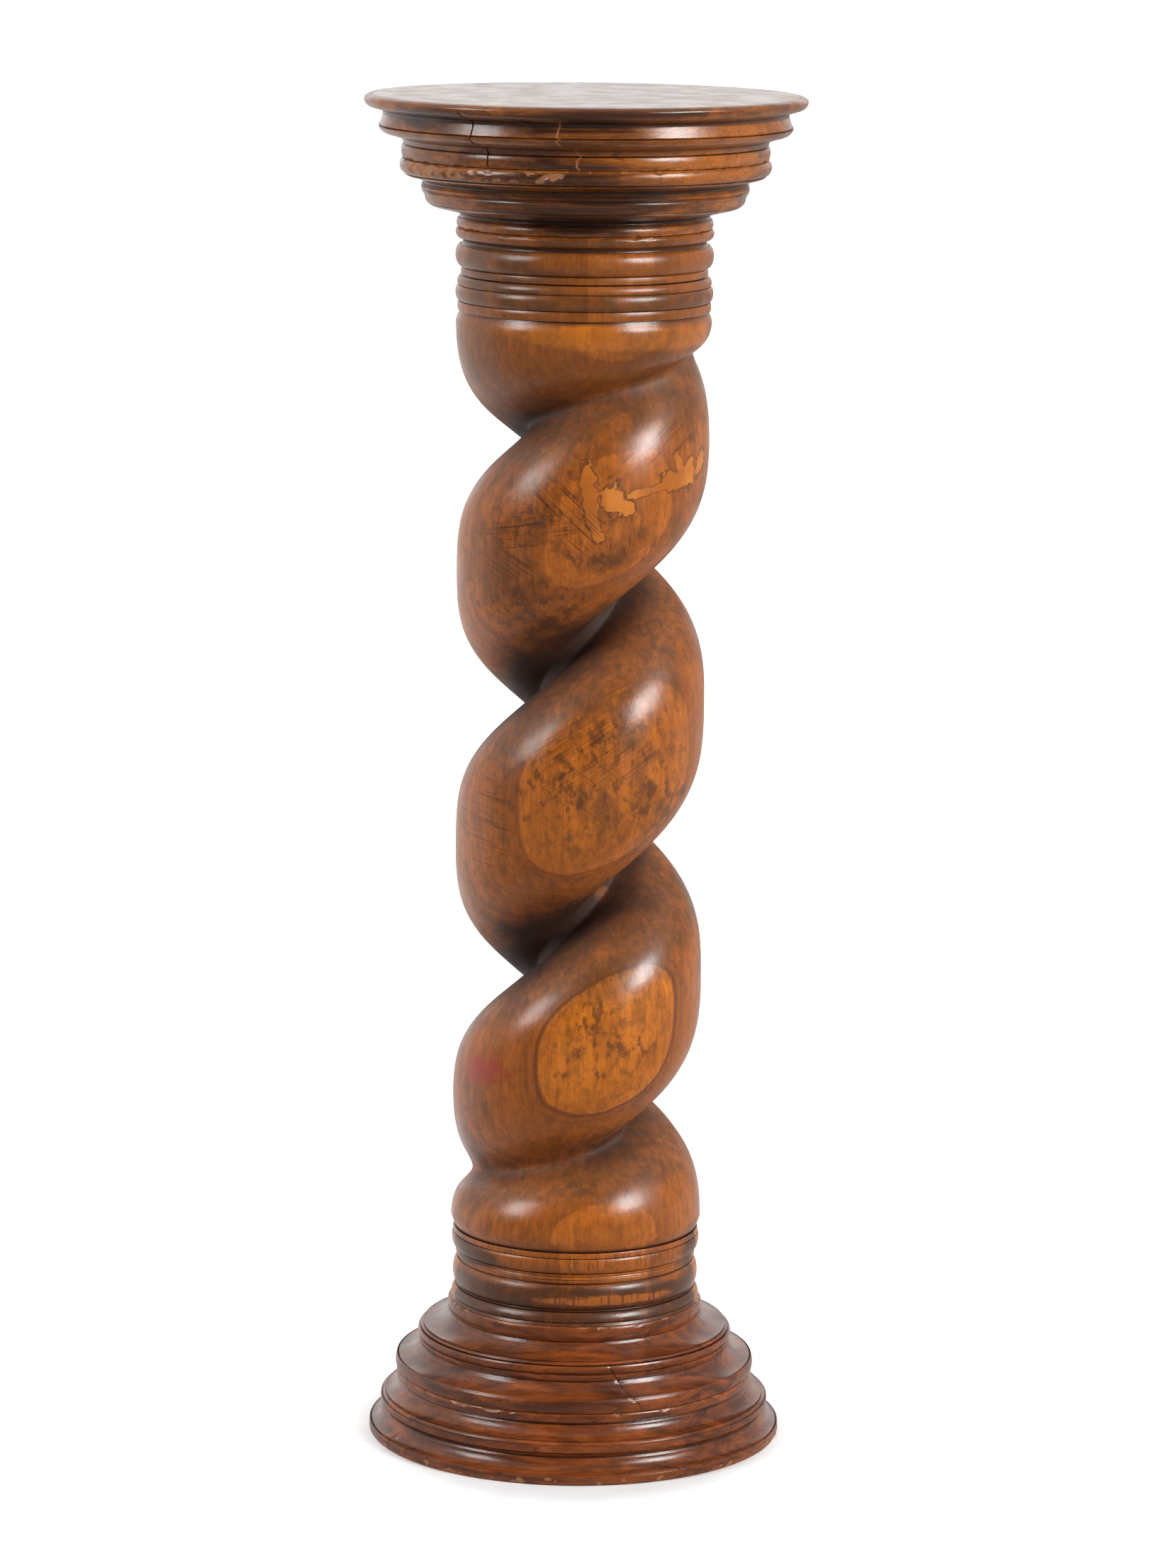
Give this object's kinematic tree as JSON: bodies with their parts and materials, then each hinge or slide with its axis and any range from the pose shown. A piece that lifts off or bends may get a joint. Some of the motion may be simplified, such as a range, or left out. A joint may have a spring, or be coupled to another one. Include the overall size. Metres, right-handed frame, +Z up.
{
  "type": "carved wood pedestal",
  "caption": "Free-standing carved wood pedestal: a right-hand twisted shaft between a stepped, turned round capital and a stepped, turned round base.",
  "frame": {"origin": "centre of the round foot, on the floor", "axes": "+Z up along the turning axis; -Y towards the side that the picture shows"},
  "size_m": [0.387, 0.387, 1.1999],
  "materials": {
    "capital_wood": "old polished brown wood, darker in the hollows",
    "shaft_wood": "polished orange-brown wood with dark figure and worn patches",
    "base_wood": "polished red-brown wood, worn at the rim"
  },
  "bodies": {
    "root": {"upper_capital_block": "capital_wood", "lower_capital_block": "capital_wood", "twisted_shaft": "shaft_wood", "upper_base_block": "base_wood", "lower_base_block": "base_wood"}
  },
  "joints": []
}
